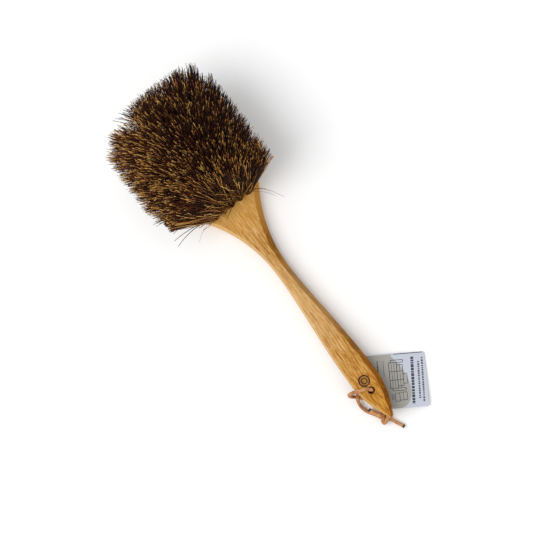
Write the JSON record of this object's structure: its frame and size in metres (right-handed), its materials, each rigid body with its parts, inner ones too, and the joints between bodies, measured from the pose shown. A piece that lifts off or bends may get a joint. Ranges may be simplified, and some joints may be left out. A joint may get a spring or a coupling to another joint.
{
  "type": "long-handled scrubbing brush",
  "caption": "Wooden paddle brush with fanned stiff plant-fibre tufts, a swept handle, a leather hanging thong through its tip and a plain card swing tag.",
  "frame": {"origin": "on the flat back of the head, under the middle of the head", "axes": "+Z out of the face that carries the bristles, +X along the handle towards its tip, +Y across the head"},
  "size_m": [0.4052, 0.1292, 0.0803],
  "materials": {
    "oiled_wood": "oiled, open grain",
    "plant_fibre": "stiff, slightly glossy fibre",
    "galvanised_wire": "drawn wire",
    "leather_thong": "round-cut, natural tan",
    "printed_card": "satin card"
  },
  "bodies": {
    "brush": {"handle": "oiled_wood", "staples": "galvanised_wire", "tuft_r1_c1": "plant_fibre", "tuft_r1_c2": "plant_fibre", "tuft_r1_c3": "plant_fibre", "tuft_r1_c4": "plant_fibre", "tuft_r1_c5": "plant_fibre", "tuft_r2_c1": "plant_fibre", "tuft_r2_c2": "plant_fibre", "tuft_r2_c3": "plant_fibre", "tuft_r2_c4": "plant_fibre", "tuft_r2_c5": "plant_fibre", "tuft_r2_c6": "plant_fibre", "tuft_r3_c1": "plant_fibre", "tuft_r3_c2": "plant_fibre", "tuft_r3_c3": "plant_fibre", "tuft_r3_c4": "plant_fibre", "tuft_r3_c5": "plant_fibre", "tuft_r4_c1": "plant_fibre", "tuft_r4_c2": "plant_fibre", "tuft_r4_c3": "plant_fibre", "tuft_r4_c4": "plant_fibre", "tuft_r4_c5": "plant_fibre", "tuft_r4_c6": "plant_fibre", "tuft_r5_c1": "plant_fibre", "tuft_r5_c2": "plant_fibre", "tuft_r5_c3": "plant_fibre", "tuft_r5_c4": "plant_fibre", "tuft_r5_c5": "plant_fibre", "tuft_r6_c1": "plant_fibre", "tuft_r6_c2": "plant_fibre", "tuft_r6_c3": "plant_fibre", "tuft_r6_c4": "plant_fibre", "tuft_r6_c5": "plant_fibre", "tuft_r6_c6": "plant_fibre", "tuft_r7_c1": "plant_fibre", "tuft_r7_c2": "plant_fibre", "tuft_r7_c3": "plant_fibre", "tuft_r7_c4": "plant_fibre", "tuft_r7_c5": "plant_fibre", "tuft_r8_c1": "plant_fibre", "tuft_r8_c2": "plant_fibre", "tuft_r8_c3": "plant_fibre", "tuft_r8_c4": "plant_fibre", "tuft_r8_c5": "plant_fibre", "tuft_r8_c6": "plant_fibre", "tuft_r9_c1": "plant_fibre", "tuft_r9_c2": "plant_fibre", "tuft_r9_c3": "plant_fibre", "tuft_r9_c4": "plant_fibre", "tuft_r9_c5": "plant_fibre", "tuft_r10_c1": "plant_fibre", "tuft_r10_c2": "plant_fibre", "tuft_r10_c3": "plant_fibre", "tuft_r10_c4": "plant_fibre"},
    "thong": {"thong_loop": "leather_thong", "thong_knot": "leather_thong", "thong_tail": "leather_thong", "thong_stub": "leather_thong"},
    "tag": {"swing_tag": "printed_card"}
  },
  "joints": [
    {"name": "loop_swing", "type": "hinge", "parent": "brush", "child": "thong", "pos_m": [0.279, 0, 0.018], "axis": [0, 0, 1], "range_deg": [-2, 30]},
    {"name": "tag_swing", "type": "hinge", "parent": "thong", "child": "tag", "pos_m": [0.2801, 0.0004, 0.0052], "axis": [0, 0, 1], "range_deg": [-10, 40]}
  ]
}
